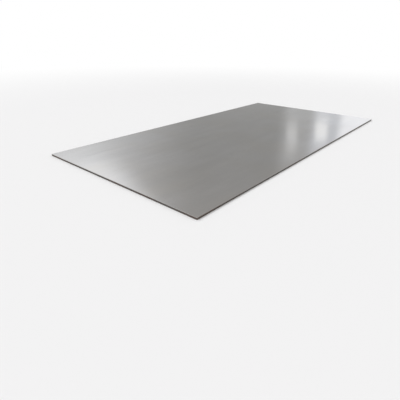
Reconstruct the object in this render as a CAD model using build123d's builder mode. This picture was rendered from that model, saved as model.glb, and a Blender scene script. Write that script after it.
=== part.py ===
from build123d import *
import os

# Titanium sheet
# One piece of flat stock in a 2 : 1 format. It is cropped to size on a guillotine with the
# same face up for all four cuts, so the edge shows the zones of a sheared cut all the way
# round: a rolled-over lip at the top face, a straight burnished band below it, and a
# fracture that leans in towards the underside.
# The origin is at the centre of the underside, with X along the length and Z up.
# Lengths are in millimetres and angles in degrees.

# Stock size
sheet_length = 2000
sheet_width = 1000
sheet_thickness = 10

# Corners in plan, eased after cutting so that they don't snag
corner_radius = 2

# Sheared edge: how deep the lip and the straight part go, as shares of the thickness
lip_share = 0.08
straight_share = 0.35

# Lean of the fracture, which follows from the gap between the two blades
fracture_angle = 5

# Levels on the edge
lip_radius = lip_share * sheet_thickness
straight_depth = straight_share * sheet_thickness
fracture_height = sheet_thickness - straight_depth

# Sheet
with BuildPart() as titanium_sheet:
    with BuildSketch(Plane.XY.offset(fracture_height)) as cut_line:
        RectangleRounded(sheet_length, sheet_width, corner_radius)
    # Straight part of the cut, up to the top face
    extrude(amount=straight_depth)
    # Fracture, down to the underside
    extrude(cut_line.sketch, amount=-fracture_height, taper=fracture_angle)
    # Lip, rolled over along the whole outline of the top face
    top_face = titanium_sheet.faces().sort_by(Axis.Z)[-1]
    fillet(top_face.edges(), radius=lip_radius)

titanium_sheet.part.label = "titanium_sheet"

# Export
os.makedirs("parts", exist_ok=True)
export_step(titanium_sheet.part, "parts/titanium_sheet.step")
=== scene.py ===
import math
from typing import NamedTuple

import bmesh
import bpy
from bpy.props import FloatProperty, FloatVectorProperty, IntProperty, PointerProperty
from mathutils import Matrix, Vector, noise


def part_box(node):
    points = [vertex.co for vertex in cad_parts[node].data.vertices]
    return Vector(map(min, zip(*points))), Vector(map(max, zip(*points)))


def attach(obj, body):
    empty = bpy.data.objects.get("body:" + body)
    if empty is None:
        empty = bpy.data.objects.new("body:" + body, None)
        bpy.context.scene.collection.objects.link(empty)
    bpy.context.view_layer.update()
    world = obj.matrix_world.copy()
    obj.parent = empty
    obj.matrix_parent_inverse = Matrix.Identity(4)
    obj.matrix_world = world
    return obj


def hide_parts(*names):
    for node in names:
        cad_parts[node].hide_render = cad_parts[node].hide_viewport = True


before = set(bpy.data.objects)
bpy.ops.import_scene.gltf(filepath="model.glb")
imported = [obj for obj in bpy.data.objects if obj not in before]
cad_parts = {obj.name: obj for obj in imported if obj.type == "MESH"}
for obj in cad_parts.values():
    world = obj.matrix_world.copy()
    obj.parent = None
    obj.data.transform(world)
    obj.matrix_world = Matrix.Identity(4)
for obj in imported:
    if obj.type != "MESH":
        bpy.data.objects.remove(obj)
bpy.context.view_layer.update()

bl_info = {
    "name": "Titanium sheet",
    "version": (1, 0, 0),
    "blender": (4, 5, 0),
    "location": "3D View > Sidebar > Sheet",
    "description": "Adds a rolled titanium sheet with sheared edges, and a plain studio round it",
    "category": "Add Mesh",
}

NODE = "titanium_sheet"
BODY = "root"

# Outer size of the sheet, in metres
sheet_low, sheet_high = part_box(NODE)
sheet_length, sheet_width, sheet_thickness = Vector(sheet_high) - Vector(sheet_low)

MM = 0.001
# Margin for comparing places, far below any real size
SMALL = 0.01 * MM

# How deep the lip and the straight part of the cut go, as shares of the thickness
LIP_SHARE = 0.08
STRAIGHT_SHARE = 0.35


# Settings


class SheetSettings(bpy.types.PropertyGroup):
    """Shape of the sheet's faces and of its sheared edge"""

    corner_radius: FloatProperty(
        name="Corner radius",
        description="Radius of the corners in plan",
        default=2 * MM,
        unit="LENGTH",
    )
    lip_radius: FloatProperty(
        name="Lip radius",
        description="Radius of the rim that the blade rolls over at the top face",
        default=LIP_SHARE * sheet_thickness,
        unit="LENGTH",
    )
    straight_depth: FloatProperty(
        name="Straight depth",
        description="Depth of the straight part of the cut below the top face",
        default=STRAIGHT_SHARE * sheet_thickness,
        unit="LENGTH",
    )
    fracture_angle: FloatProperty(
        name="Fracture angle",
        description="How far the torn part of the cut leans in towards the underside",
        default=math.radians(5),
        subtype="ANGLE",
    )
    wander: FloatProperty(
        name="Wander",
        description="How far the upper limit of the fracture rises and falls along the edge",
        default=0.8 * MM,
        unit="LENGTH",
    )
    tear_depth: FloatProperty(
        name="Tear depth",
        description="Depth of the roughness that tearing leaves in the fracture",
        default=0.25 * MM,
        unit="LENGTH",
    )
    flatness: FloatProperty(
        name="Out of flat",
        description="Depth of the long, shallow waves in the top face",
        default=0.3 * MM,
        unit="LENGTH",
    )
    ripple: FloatProperty(
        name="Ripple",
        description="Depth of the shorter waves that the mill's rolls leave in the top face",
        default=0.08 * MM,
        unit="LENGTH",
    )
    grid_step: FloatProperty(
        name="Grid step",
        description="Largest side of a mesh face on the top and the underside",
        default=20 * MM,
        unit="LENGTH",
    )
    edge_cuts: IntProperty(
        name="Edge cuts",
        description="Extra cuts between two grid lines along the sheared edge",
        default=7,
    )


class FinishSettings(bpy.types.PropertyGroup):
    """Colours of the rolled faces and of the cut edge"""

    metal: FloatVectorProperty(
        name="Rolled metal",
        description="Colour of the rolled faces",
        default=(0.507, 0.5, 0.493),
        size=3,
        subtype="COLOR",
    )
    oxide: FloatVectorProperty(
        name="Oxide tint",
        description="Colour of the faces where the oxide film is thicker",
        default=(0.466, 0.444, 0.405),
        size=3,
        subtype="COLOR",
    )
    straight: FloatVectorProperty(
        name="Straight cut",
        description="Colour of the part of the edge that the blade rubbed",
        default=(0.24, 0.228, 0.215),
        size=3,
        subtype="COLOR",
    )
    fracture: FloatVectorProperty(
        name="Fracture",
        description="Colour of the torn part of the edge",
        default=(0.133, 0.121, 0.111),
        size=3,
        subtype="COLOR",
    )
    stain: FloatVectorProperty(
        name="Edge stain",
        description="Colour of the brown film that covers parts of the cut edge",
        default=(0.16, 0.116, 0.096),
        size=3,
        subtype="COLOR",
    )


class StageSettings(bpy.types.PropertyGroup):
    """Floor, light and camera"""

    floor_colour: FloatVectorProperty(
        name="Floor",
        description="Colour of the floor near the sheet",
        default=(0.8, 0.8, 0.8),
        size=3,
        subtype="COLOR",
    )
    floor_radius: FloatProperty(
        name="Floor radius",
        description="Radius of the round floor",
        default=60.0,
        unit="LENGTH",
    )
    lamp_strength: FloatProperty(
        name="Lamp strength",
        description="Light of the soft lamp on a face turned to it, in watts per square metre",
        default=1.1,
    )
    lamp_softness: FloatProperty(
        name="Lamp softness",
        description="Angle that the lamp fills, seen from the sheet",
        default=math.radians(24),
        subtype="ANGLE",
    )
    camera_place: FloatVectorProperty(
        name="Camera place",
        description="Where the camera stands",
        default=(-1.7149, -1.1264, 0.5537),
        size=3,
        subtype="TRANSLATION",
    )
    camera_heading: FloatProperty(
        name="Camera heading",
        description="Way the camera looks, anticlockwise from +X",
        default=math.radians(40.627),
        subtype="ANGLE",
    )
    camera_dip: FloatProperty(
        name="Camera dip",
        description="How far the camera looks down",
        default=math.radians(26.645),
        subtype="ANGLE",
    )
    camera_roll: FloatProperty(
        name="Camera roll",
        description="Turn of the camera about its own line of sight",
        default=math.radians(0.44),
        subtype="ANGLE",
    )
    camera_lens: FloatProperty(
        name="Camera lens",
        description="Focal length",
        default=29.19,
        unit="CAMERA",
    )


# Node helpers


def add_node(tree, kind, inputs=(), **settings):
    """Add a node, set its properties, and set or link the inputs given by name or number."""
    node = tree.nodes.new(kind)
    for name, value in settings.items():
        setattr(node, name, value)
    for name, value in dict(inputs).items():
        if isinstance(value, bpy.types.NodeSocket):
            tree.links.new(value, node.inputs[name])
        else:
            node.inputs[name].default_value = value
    return node


def maths(tree, operation, *values):
    """Add a Math node and return its result."""
    node = add_node(tree, "ShaderNodeMath", enumerate(values), operation=operation)
    return node.outputs["Value"]


def vector_maths(tree, operation, *values):
    """Add a Vector Math node and return its result, a number where the operation gives one."""
    node = add_node(tree, "ShaderNodeVectorMath", enumerate(values), operation=operation)
    return node.outputs["Value" if operation in ("DOT_PRODUCT", "LENGTH") else "Vector"]


def combine(tree, x, y, z=0.0):
    """Return the vector with these three parts."""
    inputs = {"X": x, "Y": y, "Z": z}
    return add_node(tree, "ShaderNodeCombineXYZ", inputs).outputs["Vector"]


def separate(tree, vector):
    """Return the parts X, Y and Z of a vector."""
    return add_node(tree, "ShaderNodeSeparateXYZ", {"Vector": vector}).outputs


def turn(tree, vector, angle):
    """Return the vector turned about the upright axis."""
    inputs = {"Vector": vector, "Angle": angle}
    node = add_node(tree, "ShaderNodeVectorRotate", inputs, rotation_type="Z_AXIS")
    return node.outputs["Vector"]


def stretch(tree, vector, scale):
    """Return the vector with each part multiplied by its own scale."""
    return vector_maths(tree, "MULTIPLY", vector, scale)


def blend_in(tree, value, start, end):
    """Return a smooth step from 0 at start to 1 at end."""
    inputs = {"Value": value, "From Min": start, "From Max": end}
    node = add_node(tree, "ShaderNodeMapRange", inputs, interpolation_type="SMOOTHSTEP")
    return node.outputs["Result"]


def rescale(tree, value, low, high):
    """Return the value, which runs from 0 to 1, spread from low to high."""
    inputs = {"Value": value, "To Min": low, "To Max": high}
    return add_node(tree, "ShaderNodeMapRange", inputs).outputs["Result"]


def opaque(colour, brightness=1.0):
    """Return the colour at this share of its brightness, with an alpha of 1."""
    return (*(Vector(colour) * brightness), 1.0)


def mix_colour(tree, factor, first, second):
    """Return the first colour where the factor is 0 and the second where it is 1."""
    # A Mix node takes its colours in inputs 6 and 7 and gives the mixed one in output 2
    inputs = {0: factor, 6: first, 7: second}
    return add_node(tree, "ShaderNodeMix", inputs, data_type="RGBA").outputs[2]


def object_place(tree):
    """Return the place on the sheet, in metres."""
    return add_node(tree, "ShaderNodeTexCoord").outputs["Object"]


def noise_value(
    tree, place, scale=1.0, detail=2.0, roughness=0.5, distortion=0.0, seed=None
):
    """Return smooth noise at a place, mostly between NOISE_LOW and NOISE_HIGH."""
    inputs = {
        "Vector": place,
        "Scale": scale,
        "Detail": detail,
        "Roughness": roughness,
        "Distortion": distortion,
    }
    if seed is None:
        return add_node(tree, "ShaderNodeTexNoise", inputs).outputs["Fac"]
    inputs["W"] = seed
    node = add_node(tree, "ShaderNodeTexNoise", inputs, noise_dimensions="4D")
    return node.outputs["Fac"]


def full_range(tree, value):
    """Spread noise over 0 to 1."""
    return blend_in(tree, value, NOISE_LOW, NOISE_HIGH)


def bump(tree, height, distance, normal=None, **settings):
    """Return the normal of a relief, laid over another normal where one is given."""
    inputs = {"Height": height, "Distance": distance}
    if normal is not None:
        inputs["Normal"] = normal
    return add_node(tree, "ShaderNodeBump", inputs, **settings).outputs["Normal"]


def new_group(name, inputs, output):
    """Make a node group with number inputs, given with their defaults, and one number output."""
    group = bpy.data.node_groups.new(name, "ShaderNodeTree")
    for label, default in inputs.items():
        socket = group.interface.new_socket(
            label, in_out="INPUT", socket_type="NodeSocketFloat"
        )
        socket.default_value = default
    group.interface.new_socket(output, in_out="OUTPUT", socket_type="NodeSocketFloat")
    entry = group.nodes.new("NodeGroupInput")
    return group, entry.outputs


def close_group(group, value):
    """Put the value out of the group."""
    leave = group.nodes.new("NodeGroupOutput")
    group.links.new(value, leave.inputs[0])


def use_group(tree, name, **inputs):
    """Place a group in a tree with its own values and return its output."""
    node = add_node(tree, "ShaderNodeGroup", node_tree=bpy.data.node_groups[name])
    for label, value in inputs.items():
        node.inputs[label.replace("_", " ").capitalize()].default_value = value
    return node.outputs[0]


# Object helpers


def finish_mesh(shape, name):
    """Turn the shape into a mesh of this name and free the shape."""
    mesh = bpy.data.meshes.new(name)
    shape.to_mesh(mesh)
    shape.free()
    return mesh


def add_object(scene, name, data):
    """Add an object with this name and data to the scene."""
    item = bpy.data.objects.new(name, data)
    scene.collection.objects.link(item)
    return item


# Effects

# Values between which most noise lies
NOISE_LOW = 0.3
NOISE_HIGH = 0.7

# Most that a scratch turns away from the angle of its set
SCRATCH_BEND = math.radians(8)


def streaks_group():
    """Lines drawn out along the sheet's length, from fine rolling grain to broad bands."""
    group, given = new_group(
        "Streaks", {"Along": 1.0, "Across": 100.0, "Detail": 2.0, "Seed": 0.0}, "Value"
    )
    scale = combine(group, given["Along"], given["Across"], given["Across"])
    drawn = stretch(group, object_place(group), scale)
    lines = noise_value(group, drawn, detail=given["Detail"], seed=given["Seed"])
    close_group(group, lines)


def clouds_group():
    """Soft patches, as a pickled or annealed face has."""
    group, given = new_group(
        "Clouds", {"Scale": 3.0, "Low": 0.4, "High": 0.6, "Seed": 0.0}, "Mask"
    )
    patches = noise_value(
        group,
        object_place(group),
        scale=given["Scale"],
        detail=3.0,
        roughness=0.45,
        distortion=0.3,
        seed=given["Seed"],
    )
    close_group(group, blend_in(group, patches, given["Low"], given["High"]))


def scratches_group():
    """Straight scratches at about one angle, one in each cell of a scattered pattern."""
    group, given = new_group(
        "Scratches",
        {"Angle": 0.0, "Length": 0.15, "Width": 0.001, "Fill": 0.1, "Seed": 0.0},
        "Mask",
    )
    # The place is turned to the angle and stretched until a scratch is round, with a
    # diameter of the share of its cell that it fills
    bend = noise_value(group, object_place(group), scale=4.0, detail=1.0)
    angle = maths(group, "MULTIPLY_ADD", bend, SCRATCH_BEND, given["Angle"])
    turned = turn(group, object_place(group), angle)
    scale = combine(
        group,
        maths(group, "DIVIDE", given["Fill"], given["Length"]),
        maths(group, "DIVIDE", given["Fill"], given["Width"]),
    )
    drawn = stretch(group, turned, scale)
    moved = vector_maths(group, "ADD", drawn, combine(group, given["Seed"], given["Seed"]))
    cells = add_node(
        group,
        "ShaderNodeTexVoronoi",
        {"Vector": moved, "Scale": 1.0},
        voronoi_dimensions="2D",
    )
    radius = maths(group, "MULTIPLY", given["Fill"], 0.5)
    close_group(group, blend_in(group, cells.outputs["Distance"], radius, 0.0))


# Finishes


def new_material(name):
    """Make an empty node material and return it with its tree."""
    material = bpy.data.materials.new(name)
    material.use_nodes = True
    material.node_tree.nodes.clear()
    return material, material.node_tree


def finish_material(tree, shader):
    """Send the shader to the surface."""
    end = tree.nodes.new("ShaderNodeOutputMaterial")
    tree.links.new(shader, end.inputs["Surface"])


def finish_metal(tree, colour, roughness, normal):
    """Send bare metal of this colour, roughness and normal to the surface."""
    inputs = {
        "Base Color": colour,
        "Metallic": 1.0,
        "Roughness": roughness,
        "Normal": normal,
    }
    shader = add_node(tree, "ShaderNodeBsdfPrincipled", inputs)
    finish_material(tree, shader.outputs["BSDF"])


# How far each effect shows in the colour of the rolled face, from 0 to 1, and the brightness
# of smears and scratches against the metal's own
FILM_SHARE = 0.5
SMEAR_SHARE = 0.42
COARSE_GRAIN_SHARE = 0.35
SCRATCH_SHARE = 0.15
SMEAR_BRIGHTNESS = 0.86
SCRATCH_BRIGHTNESS = 1.25

# Its roughness from the glossiest cloud to the dullest, and what the rest adds to that
CLOUD_ROUGHNESS = (0.085, 0.115)
BAND_ROUGHNESS = (-0.015, 0.015)
SCRATCH_ROUGHNESS = 0.06
FINE_GRAIN_ROUGHNESS = 0.04

# Height of its two grains and depth of its scratches
FINE_GRAIN_HEIGHT = 0.003 * MM
COARSE_GRAIN_HEIGHT = 0.01 * MM
SCRATCH_DEPTH = 0.003 * MM


def rolled_face(colours):
    """Mill-finished face: satin metal with rolling grain, smears, thin film and scratches."""
    material, tree = new_material("rolled_face")
    clouds = use_group(tree, "Clouds", scale=2.6, low=0.42, high=0.66, seed=1.0)
    film = use_group(tree, "Clouds", scale=4.0, low=0.34, high=0.66, seed=4.0)
    smears = use_group(tree, "Streaks", along=2.5, across=14.0, detail=3.0, seed=9.0)
    bands = use_group(tree, "Streaks", along=0.25, across=9.0, detail=3.0, seed=2.0)
    fine = use_group(tree, "Streaks", along=6.0, across=1400.0, detail=2.0)
    coarse = use_group(tree, "Streaks", along=1.2, across=160.0, detail=3.0, seed=7.0)
    lengthwise = use_group(
        tree, "Scratches", angle=0.12, length=0.22, width=0.0012, fill=0.12
    )
    crosswise = use_group(
        tree, "Scratches", angle=1.1, length=0.1, width=0.0009, fill=0.1, seed=31.0
    )
    scratches = maths(tree, "MAXIMUM", lengthwise, crosswise)

    filmed = maths(tree, "MULTIPLY", film, FILM_SHARE)
    tint = mix_colour(tree, filmed, opaque(colours.metal), opaque(colours.oxide))
    grained = maths(tree, "MULTIPLY", coarse, COARSE_GRAIN_SHARE)
    smeared = full_range(tree, smears)
    shade = maths(tree, "MULTIPLY_ADD", smeared, SMEAR_SHARE, grained)
    shaded = mix_colour(tree, shade, tint, opaque(colours.metal, SMEAR_BRIGHTNESS))
    scratched = maths(tree, "MULTIPLY", scratches, SCRATCH_SHARE)
    bare = opaque(colours.metal, SCRATCH_BRIGHTNESS)
    colour = mix_colour(tree, scratched, shaded, bare)

    cloud_roughness = rescale(tree, clouds, *CLOUD_ROUGHNESS)
    band_roughness = rescale(tree, bands, *BAND_ROUGHNESS)
    roughness = maths(tree, "ADD", cloud_roughness, band_roughness)
    roughness = maths(tree, "MULTIPLY_ADD", scratches, SCRATCH_ROUGHNESS, roughness)
    roughness = maths(tree, "MULTIPLY_ADD", fine, FINE_GRAIN_ROUGHNESS, roughness)

    normal = bump(tree, fine, FINE_GRAIN_HEIGHT)
    normal = bump(tree, coarse, COARSE_GRAIN_HEIGHT, normal)
    normal = bump(tree, scratches, SCRATCH_DEPTH, normal, invert=True)
    finish_metal(tree, colour, roughness, normal)
    return material


# Name of the mesh attribute that gives the height of the fracture's upper limit
LIMIT_ATTRIBUTE = "fracture_top"

# How far that limit is ragged up and down, and how soft it is
LIMIT_RAGGEDNESS = 0.8 * MM
LIMIT_SOFTNESS = 0.1 * MM

# Depths below the top face where the lip starts to show and where it is bright all over, as
# shares of its radius
LIP_LIMITS = (1.5, 0.4)

# Waves in a metre of the blade's drag lines and of the torn grain, along X, Y and Z
DRAG_WAVES = (1400.0, 1400.0, 60.0)
TORN_WAVES = (1500.0, 1500.0, 900.0)

# Brightness of the darkest and of the lightest grain or line, against the colour set for it
TORN_BRIGHTNESS = (0.65, 1.35)
RUBBED_BRIGHTNESS = (0.8, 1.2)

# Thinnest and densest specks of the brown film
STAIN_SHARES = (0.25, 0.75)

# Roughness of the fracture and of the straight part, and what the lip adds to the latter
EDGE_ROUGHNESS = (0.62, 0.42)
LIP_ROUGHNESS = -0.14

# Height of the torn grain, and of the drag lines as a share of it
TORN_HEIGHT = 0.12 * MM
DRAG_SHARE = 0.15


def straight_part(tree, place):
    """Return 1 on the straight part of the cut and 0 on the fracture, with a ragged limit."""
    limit = add_node(tree, "ShaderNodeAttribute", attribute_name=LIMIT_ATTRIBUTE)
    above = maths(tree, "SUBTRACT", separate(tree, place)["Z"], limit.outputs["Fac"])
    ragged = noise_value(tree, place, scale=350.0, detail=3.0)
    uneven = maths(
        tree, "MULTIPLY_ADD", ragged, 2 * LIMIT_RAGGEDNESS, -LIMIT_RAGGEDNESS
    )
    shifted = maths(tree, "ADD", above, uneven)
    return blend_in(tree, shifted, -LIMIT_SOFTNESS, LIMIT_SOFTNESS)


def lip_part(tree, place, radius):
    """Return 1 on the lip and 0 on the cut below it."""
    levels = [sheet_thickness - share * radius for share in LIP_LIMITS]
    return blend_in(tree, separate(tree, place)["Z"], *levels)


def stain_part(tree):
    """Return how much of the brown film covers the cut edge."""
    film = use_group(tree, "Clouds", scale=5.0, low=0.42, high=0.62, seed=12.0)
    specks = use_group(tree, "Clouds", scale=90.0, low=0.35, high=0.65, seed=3.0)
    return maths(tree, "MULTIPLY", film, rescale(tree, specks, *STAIN_SHARES))


def sheared_edge(colours, lip_radius):
    """Cut edge: bright lip, rubbed straight part with drag lines, and dull torn fracture."""
    material, tree = new_material("sheared_edge")
    place = object_place(tree)
    straight = straight_part(tree, place)
    lip = lip_part(tree, place, lip_radius)
    drag = noise_value(tree, stretch(tree, place, DRAG_WAVES))
    torn = noise_value(
        tree, stretch(tree, place, TORN_WAVES), detail=5.0, roughness=0.65
    )
    grains = full_range(tree, torn)

    torn_ends = [opaque(colours.fracture, share) for share in TORN_BRIGHTNESS]
    rubbed_ends = [opaque(colours.straight, share) for share in RUBBED_BRIGHTNESS]
    torn_colour = mix_colour(tree, grains, *torn_ends)
    rubbed_colour = mix_colour(tree, drag, *rubbed_ends)
    cut = mix_colour(tree, straight, torn_colour, rubbed_colour)
    stained = mix_colour(tree, stain_part(tree), cut, opaque(colours.stain))
    colour = mix_colour(tree, lip, stained, opaque(colours.metal))

    roughness = rescale(tree, straight, *EDGE_ROUGHNESS)
    roughness = maths(tree, "MULTIPLY_ADD", lip, LIP_ROUGHNESS, roughness)

    fracture = maths(tree, "SUBTRACT", 1.0, straight)
    torn_relief = maths(tree, "MULTIPLY", grains, fracture)
    drag_relief = maths(tree, "MULTIPLY", drag, DRAG_SHARE)
    relief = maths(tree, "ADD", torn_relief, drag_relief)
    finish_metal(tree, colour, roughness, bump(tree, relief, TORN_HEIGHT))
    return material


# Sheet

# Faces round each corner and over the lip
CORNER_STEPS = 6
LIP_STEPS = 5

# Heights at which the fracture is cut level, as shares of its own
FRACTURE_SHARES = (0.04, 0.2, 0.4, 0.6, 0.8, 1.0)

# Faces whose normal points less than this up or down belong to the cut edge
LEVEL_FACE = 0.99

# Place of the cut edge's material in the mesh's list, after the rolled face's
EDGE_MATERIAL = 1

# Waves in a metre of the fracture's upper limit and of its roughness
LIMIT_WAVES = 55
ROUGH_WAVES = 160

# How fast the roughness grows below that limit: at 3 it is full a third of the way down
ROUGH_GROWTH = 3

# Waves in a metre of the top face, along X and Y, and the level on which each set is read
LONG_WAVES = (1.1, 1.9)
LONG_LEVEL = 0.5
SHORT_WAVES = (5, 8)
SHORT_LEVEL = 3.5

# Two faces that meet at more than this show a crease between them
CREASE_ANGLE = math.radians(50)


def fractal(place, octaves, lacunarity=2.0):
    """Return noise in layers, each finer and weaker than the last by the lacunarity."""
    return noise.fractal(place, 1.0, lacunarity, octaves)


def from_zero(value):
    """Spread noise that runs from -1 to 1 over 0 to 1."""
    return 0.5 + 0.5 * value


def even_places(length, step):
    """Return the places that divide a length, centred on zero, into even steps."""
    count = math.ceil(length / step)
    return [length * (index / count - 0.5) for index in range(1, count)]


def cut_across(shape, direction, places):
    """Cut the whole shape square to a direction at each of the places along it."""
    for place in places:
        bmesh.ops.bisect_plane(
            shape,
            geom=shape.verts[:] + shape.edges[:] + shape.faces[:],
            plane_co=direction * place,
            plane_no=direction,
        )


def bevel_edges(shape, edges, radius, segments):
    """Round the edges."""
    bmesh.ops.bevel(
        shape,
        geom=edges,
        offset=radius,
        segments=segments,
        profile=0.5,
        affect="EDGES",
        material=-1,
    )


def make_block(settings):
    """Make the sheet as a thin block with eased corners and a rounded top rim."""
    size = (sheet_length, sheet_width, sheet_thickness)
    middle = sheet_thickness / 2
    shape = bmesh.new()
    bmesh.ops.create_cube(shape, size=1.0)
    bmesh.ops.scale(shape, vec=size, verts=shape.verts)
    bmesh.ops.translate(shape, vec=(0, 0, middle), verts=shape.verts)
    uprights = [
        edge
        for edge in shape.edges
        if (edge.verts[0].co.z - middle) * (edge.verts[1].co.z - middle) < 0
    ]
    bevel_edges(shape, uprights, settings.corner_radius, CORNER_STEPS)
    rim = [edge for edge in shape.edges if all(vert.co.z > middle for vert in edge.verts)]
    bevel_edges(shape, rim, settings.lip_radius, LIP_STEPS)
    # A narrow ring of faces inside the rim keeps its smooth shading off the flat face
    top = max(shape.faces, key=lambda face: face.calc_center_median().z)
    ring_width = settings.lip_radius / LIP_STEPS
    bmesh.ops.inset_region(shape, faces=[top], thickness=ring_width, use_even_offset=True)
    return shape


def mean_limit(settings):
    """Return the mean height of the fracture's upper limit."""
    return sheet_thickness - settings.straight_depth


def cut_grid(shape, settings):
    """Cut the block into a grid, and the fracture at its own heights."""
    cut_across(shape, Vector((1, 0, 0)), even_places(sheet_length, settings.grid_step))
    cut_across(shape, Vector((0, 1, 0)), even_places(sheet_width, settings.grid_step))
    levels = [share * mean_limit(settings) for share in FRACTURE_SHARES]
    cut_across(shape, Vector((0, 0, 1)), levels)


def mark_cut_edge(shape):
    """Give the faces of the cut edge, the lip among them, their own material."""
    shape.normal_update()
    for face in shape.faces:
        if abs(face.normal.z) < LEVEL_FACE:
            face.material_index = EDGE_MATERIAL


def along_side(edge, distance):
    """Say whether both ends of an edge lie within a distance of the same side."""
    x_limit = sheet_length / 2 - distance
    y_limit = sheet_width / 2 - distance
    return all(abs(vert.co.x) > x_limit for vert in edge.verts) or all(
        abs(vert.co.y) > y_limit for vert in edge.verts
    )


def divide_rim(shape, settings):
    """Cut the long faces at the sides finer, so that the fracture can wander."""
    distance = settings.lip_radius * (1 + 1 / LIP_STEPS) + SMALL
    rim = [
        edge
        for edge in shape.edges
        if edge.calc_length() > settings.grid_step / 2 and along_side(edge, distance)
    ]
    bmesh.ops.subdivide_edges(shape, edges=rim, cuts=settings.edge_cuts, use_grid_fill=True)
    many_sided = [face for face in shape.faces if len(face.verts) > 4]
    bmesh.ops.triangulate(
        shape, faces=many_sided, quad_method="BEAUTY", ngon_method="BEAUTY"
    )


def tear_fracture(shape, settings):
    """Let the fracture's upper limit wander, lean the fracture in below it and roughen it."""
    mean_top = mean_limit(settings)
    lean = math.tan(settings.fracture_angle)
    limit = shape.verts.layers.float.new(LIMIT_ATTRIBUTE)
    shape.normal_update()
    cut_faces = [face for face in shape.faces if face.material_index == EDGE_MATERIAL]
    cut_verts = {vert for face in cut_faces for vert in face.verts}
    for vert in shape.verts:
        along = Vector((vert.co.x, vert.co.y, 0)) * LIMIT_WAVES
        fracture_top = mean_top + settings.wander * fractal(along, octaves=3)
        vert[limit] = fracture_top
        if vert not in cut_verts or vert.co.z > mean_top + SMALL:
            continue
        vert.co.z *= fracture_top / mean_top
        depth = fracture_top - vert.co.z
        outward = Vector((vert.normal.x, vert.normal.y, 0)).normalized()
        rough = from_zero(fractal(vert.co * ROUGH_WAVES, octaves=2))
        share = min(depth / fracture_top * ROUGH_GROWTH, 1)
        vert.co -= outward * (lean * depth + settings.tear_depth * rough * share)


def wave_place(vert, waves, level):
    """Return where a vertex reads a set of waves."""
    return Vector((vert.co.x * waves[0], vert.co.y * waves[1], level))


def wave_face(shape, settings):
    """Let the top face run slightly out of flat, and the edge with it."""
    for vert in shape.verts:
        long_place = wave_place(vert, LONG_WAVES, LONG_LEVEL)
        long_wave = fractal(long_place, octaves=2, lacunarity=2.1)
        short_wave = noise.noise(wave_place(vert, SHORT_WAVES, SHORT_LEVEL))
        dip = settings.flatness * from_zero(long_wave)
        dip += settings.ripple * from_zero(short_wave)
        # The underside stays flat, and nothing rises above the sheet's own height
        vert.co.z -= max(dip, 0) * vert.co.z / sheet_thickness


def shade_smooth(shape):
    """Shade the faces smooth, with a crease where the cut edge meets the underside."""
    bmesh.ops.recalc_face_normals(shape, faces=shape.faces)
    shape.normal_update()
    for face in shape.faces:
        face.smooth = True
    for edge in shape.edges:
        edge.smooth = edge.calc_face_angle() < CREASE_ANGLE


def sheet_mesh(settings):
    """Build the sheet and return its mesh, without materials."""
    shape = make_block(settings)
    cut_grid(shape, settings)
    mark_cut_edge(shape)
    divide_rim(shape, settings)
    tear_fracture(shape, settings)
    wave_face(shape, settings)
    shade_smooth(shape)
    return finish_mesh(shape, "sheet")


class MESH_OT_add_titanium_sheet(bpy.types.Operator):
    """Add the rolled sheet with its sheared edges and its finish"""

    bl_idname = "mesh.add_titanium_sheet"
    bl_label = "Add Titanium Sheet"

    def execute(self, context):
        settings = context.scene.sheet
        colours = context.scene.sheet_finish
        streaks_group()
        clouds_group()
        scratches_group()
        mesh = sheet_mesh(settings)
        mesh.materials.append(rolled_face(colours))
        mesh.materials.append(sheared_edge(colours, settings.lip_radius))
        sheet = add_object(context.scene, "sheet", mesh)
        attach(sheet, BODY)
        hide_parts(NODE)
        return {"FINISHED"}


# Stage

WHITE = (1.0, 1.0, 1.0, 1.0)

# Tints of the lights
PLAIN = (1.0, 1.0, 1.0)
COOL = (0.975, 0.995, 1.04)
BLUE = (0.9, 0.96, 1.13)
WARM = (1.03, 1.01, 0.96)


class SoftBox(NamedTuple):
    """A soft-edged patch of light in the sky, its place, sizes and softness in degrees."""

    name: str
    heading: float
    height: float
    half_width: float
    half_height: float
    side_softness: float
    height_softness: float
    strength: float
    tint: tuple
    lean: float = 0.0


SOFT_BOXES = (
    SoftBox("left", 75, 32, 22.2, 28, 13, 8, 0.53, COOL),
    SoftBox("left upper", 67.2, 30, 19, 11, 3.5, 2.5, 0.52, COOL, lean=0.82),
    SoftBox("end dim", -2.05, 13, 28.3, 9, 1.2, 4, 0.16, COOL),
    SoftBox("end", -3.6, 14, 25, 10, 1, 4, 0.26, BLUE),
    SoftBox("end bright", -3.85, 17, 21.2, 9, 0.7, 3, 0.48, PLAIN),
    SoftBox("near slim", 24.6, 15.35, 0.85, 2.2, 0.35, 1.1, 0.34, PLAIN, lean=0.14),
    SoftBox("far slim", 20.05, 13.6, 0.95, 1.5, 0.4, 0.6, 0.58, WARM, lean=0.14),
    SoftBox("rear left", 170, 30, 24, 24, 16, 12, 0.5, COOL),
    SoftBox("rear", 235, 28, 12, 20, 10, 10, 0.55, COOL),
    SoftBox("rear right", 300, 30, 20, 22, 14, 10, 0.45, COOL),
)

# Sky near the horizon, what it gains towards the top, and the sines of the heights where
# that gain starts and where it is whole
SKY_LOW = (0.43, 0.431, 0.427)
SKY_GAIN = (0.19, 0.177, 0.17)
SKY_RISE = (0.2, 0.7)

# Way to the glow overhead, its widest and its narrowest angle in degrees, and its strength
GLOW_SIDE = (-0.2, 0.45, 0.87)
GLOW_ANGLES = (46, 8)
GLOW_STRENGTH = 0.42

# Heights in degrees where the sky starts to turn white and where it is white
HORIZON_ANGLES = (9.5, 3)

# Distances from the sheet's middle where the floor starts to turn white and where it is white
FLOOR_FADE = (1.6, 6.0)
FLOOR_ROUGHNESS = 0.9
FLOOR_SIDES = 64

# Way to the lamp
LAMP_SIDE = (-0.45, 0.6, 0.85)


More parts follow.
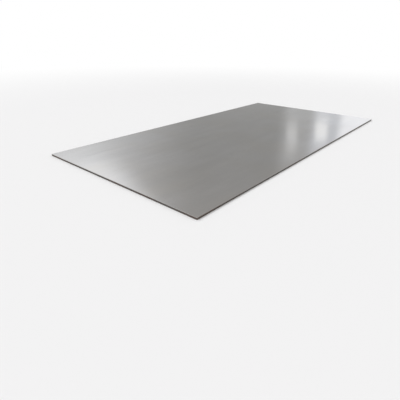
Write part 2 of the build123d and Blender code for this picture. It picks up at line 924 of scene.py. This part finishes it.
def direction_of(tree):
    """Return the direction that the world is looked at in."""
    return add_node(tree, "ShaderNodeTexCoord").outputs["Generated"]


def inside(tree, distance, half_size, softness):
    """Return 1 less than half a size away and 0 further off, with a soft limit."""
    outer = maths(tree, "ADD", half_size, softness)
    inner = maths(tree, "SUBTRACT", half_size, softness)
    return blend_in(tree, distance, outer, inner)


def soft_box_group():
    """A soft box, 1 on it and 0 round it, with each input but the lean in degrees."""
    group, given = new_group(
        "Soft box",
        {
            "Heading": 0.0,
            "Height": 30.0,
            "Lean": 0.0,
            "Half width": 10.0,
            "Half height": 10.0,
            "Side softness": 2.0,
            "Height softness": 2.0,
        },
        "Mask",
    )
    back = maths(group, "MULTIPLY", given["Heading"], math.radians(-1))
    parts = separate(group, turn(group, direction_of(group), back))
    aside = maths(group, "DEGREES", maths(group, "ARCTAN2", parts["Y"], parts["X"]))
    rise = maths(group, "DEGREES", maths(group, "ARCSINE", parts["Z"]))
    above = maths(group, "SUBTRACT", rise, given["Height"])
    leaning = maths(group, "MULTIPLY_ADD", above, given["Lean"], aside)
    side = maths(group, "ABSOLUTE", leaning)
    level = maths(group, "ABSOLUTE", above)
    across = inside(group, side, given["Half width"], given["Side softness"])
    upwards = inside(group, level, given["Half height"], given["Height softness"])
    close_group(group, maths(group, "MULTIPLY", across, upwards))


def add_light(tree, mask, colour, light):
    """Return the light with this colour added where the mask is 1."""
    return vector_maths(tree, "MULTIPLY_ADD", mask, colour, light)


def glow_mask(tree):
    """Return 1 in the middle of the glow overhead and 0 round it."""
    way = Vector(GLOW_SIDE).normalized()
    near = vector_maths(tree, "DOT_PRODUCT", direction_of(tree), way)
    return blend_in(tree, near, *[math.cos(math.radians(angle)) for angle in GLOW_ANGLES])


def soft_box_mask(tree, box):
    """Return 1 on the soft box and 0 round it."""
    mask = use_group(
        tree,
        "Soft box",
        heading=box.heading,
        height=box.height,
        lean=box.lean,
        half_width=box.half_width,
        half_height=box.half_height,
        side_softness=box.side_softness,
        height_softness=box.height_softness,
    )
    mask.node.label = box.name
    return mask


def light_world(world):
    """Light the world with soft boxes over a dim sky, and show the camera plain white."""
    world.use_nodes = True
    tree = world.node_tree
    tree.nodes.clear()
    upward = separate(tree, direction_of(tree))["Z"]
    overhead = blend_in(tree, upward, *SKY_RISE)
    light = add_light(tree, overhead, SKY_GAIN, SKY_LOW)
    light = add_light(tree, glow_mask(tree), Vector(COOL) * GLOW_STRENGTH, light)
    for box in SOFT_BOXES:
        mask = soft_box_mask(tree, box)
        light = add_light(tree, mask, Vector(box.tint) * box.strength, light)
    horizon = blend_in(
        tree, upward, *[math.sin(math.radians(angle)) for angle in HORIZON_ANGLES]
    )
    path = add_node(tree, "ShaderNodeLightPath").outputs
    plain = maths(tree, "MAXIMUM", path["Is Camera Ray"], path["Is Transmission Ray"])
    whiten = maths(tree, "MAXIMUM", horizon, plain)
    colour = mix_colour(tree, whiten, light, WHITE)
    background = add_node(
        tree, "ShaderNodeBackground", {"Color": colour, "Strength": 1.0}
    )
    end = tree.nodes.new("ShaderNodeOutputWorld")
    tree.links.new(background.outputs["Background"], end.inputs["Surface"])


def pale_floor(colour):
    """Pale floor that turns to plain white away from the sheet."""
    material, tree = new_material("pale_floor")
    distance = vector_maths(tree, "LENGTH", object_place(tree))
    far = blend_in(tree, distance, *FLOOR_FADE)
    path = add_node(tree, "ShaderNodeLightPath").outputs
    direct = maths(tree, "MAXIMUM", path["Is Camera Ray"], path["Is Glossy Ray"])
    direct = maths(tree, "MAXIMUM", direct, path["Is Transmission Ray"])
    inputs = {"Base Color": opaque(colour), "Roughness": FLOOR_ROUGHNESS}
    matt = add_node(tree, "ShaderNodeBsdfPrincipled", inputs).outputs["BSDF"]
    white = add_node(tree, "ShaderNodeEmission", {"Color": WHITE}).outputs["Emission"]
    # A Mix Shader node takes its factor in input 0 and its shaders in inputs 1 and 2
    inputs = {0: maths(tree, "MULTIPLY", far, direct), 1: matt, 2: white}
    both = add_node(tree, "ShaderNodeMixShader", inputs)
    finish_material(tree, both.outputs["Shader"])
    return material


def add_floor(scene, settings):
    """Add the round floor."""
    shape = bmesh.new()
    bmesh.ops.create_circle(
        shape, cap_ends=True, radius=settings.floor_radius, segments=FLOOR_SIDES
    )
    mesh = finish_mesh(shape, "floor")
    mesh.materials.append(pale_floor(settings.floor_colour))
    floor = add_object(scene, "floor", mesh)


def add_lamp(scene, settings):
    """Add the soft lamp, which stands to the camera's left and gives the shadow."""
    data = bpy.data.lights.new("lamp", "SUN")
    data.energy = settings.lamp_strength
    data.angle = settings.lamp_softness
    lamp = add_object(scene, "lamp", data)
    lamp.rotation_mode = "QUATERNION"
    lamp.rotation_quaternion = Vector(LAMP_SIDE).to_track_quat("Z", "Y")
    lamp.visible_glossy = False


def add_camera(scene, settings):
    """Add the camera."""
    data = bpy.data.cameras.new("camera")
    data.lens = settings.camera_lens
    data.clip_end = 2 * settings.floor_radius
    camera = add_object(scene, "camera", data)
    # Before it is turned, a camera looks down with the top of its picture towards +Y
    quarter = math.radians(90)
    camera.matrix_world = (
        Matrix.Translation(settings.camera_place)
        @ Matrix.Rotation(settings.camera_heading - quarter, 4, "Z")
        @ Matrix.Rotation(quarter - settings.camera_dip, 4, "X")
        @ Matrix.Rotation(settings.camera_roll, 4, "Z")
    )
    scene.camera = camera


class SCENE_OT_add_sheet_stage(bpy.types.Operator):
    """Add the floor, the light and the camera"""

    bl_idname = "scene.add_sheet_stage"
    bl_label = "Add Stage"

    def execute(self, context):
        scene = context.scene
        settings = scene.sheet_stage
        soft_box_group()
        scene.world = scene.world or bpy.data.worlds.new("studio")
        light_world(scene.world)
        add_floor(scene, settings)
        add_lamp(scene, settings)
        add_camera(scene, settings)
        scene.view_settings.view_transform = "Standard"
        return {"FINISHED"}


# Panel


class VIEW3D_PT_titanium_sheet(bpy.types.Panel):
    """List the sheet's settings and operators"""

    bl_label = "Titanium Sheet"
    bl_space_type = "VIEW_3D"
    bl_region_type = "UI"
    bl_category = "Sheet"

    def draw(self, context):
        scene = context.scene
        for settings in (scene.sheet, scene.sheet_finish, scene.sheet_stage):
            box = self.layout.box()
            for name in settings.__annotations__:
                box.prop(settings, name)
        self.layout.operator(MESH_OT_add_titanium_sheet.bl_idname)
        self.layout.operator(SCENE_OT_add_sheet_stage.bl_idname)


CLASSES = (
    SheetSettings,
    FinishSettings,
    StageSettings,
    MESH_OT_add_titanium_sheet,
    SCENE_OT_add_sheet_stage,
    VIEW3D_PT_titanium_sheet,
)


def register():
    """Add the classes and their settings to Blender."""
    for item in CLASSES:
        bpy.utils.register_class(item)
    bpy.types.Scene.sheet = PointerProperty(type=SheetSettings)
    bpy.types.Scene.sheet_finish = PointerProperty(type=FinishSettings)
    bpy.types.Scene.sheet_stage = PointerProperty(type=StageSettings)


def unregister():
    """Take the classes and their settings out of Blender."""
    del bpy.types.Scene.sheet_stage
    del bpy.types.Scene.sheet_finish
    del bpy.types.Scene.sheet
    for item in reversed(CLASSES):
        bpy.utils.unregister_class(item)


def main():
    """Build the sheet and its stage."""
    register()
    bpy.ops.mesh.add_titanium_sheet()
    bpy.ops.scene.add_sheet_stage()


if __name__ == "__main__":
    main()
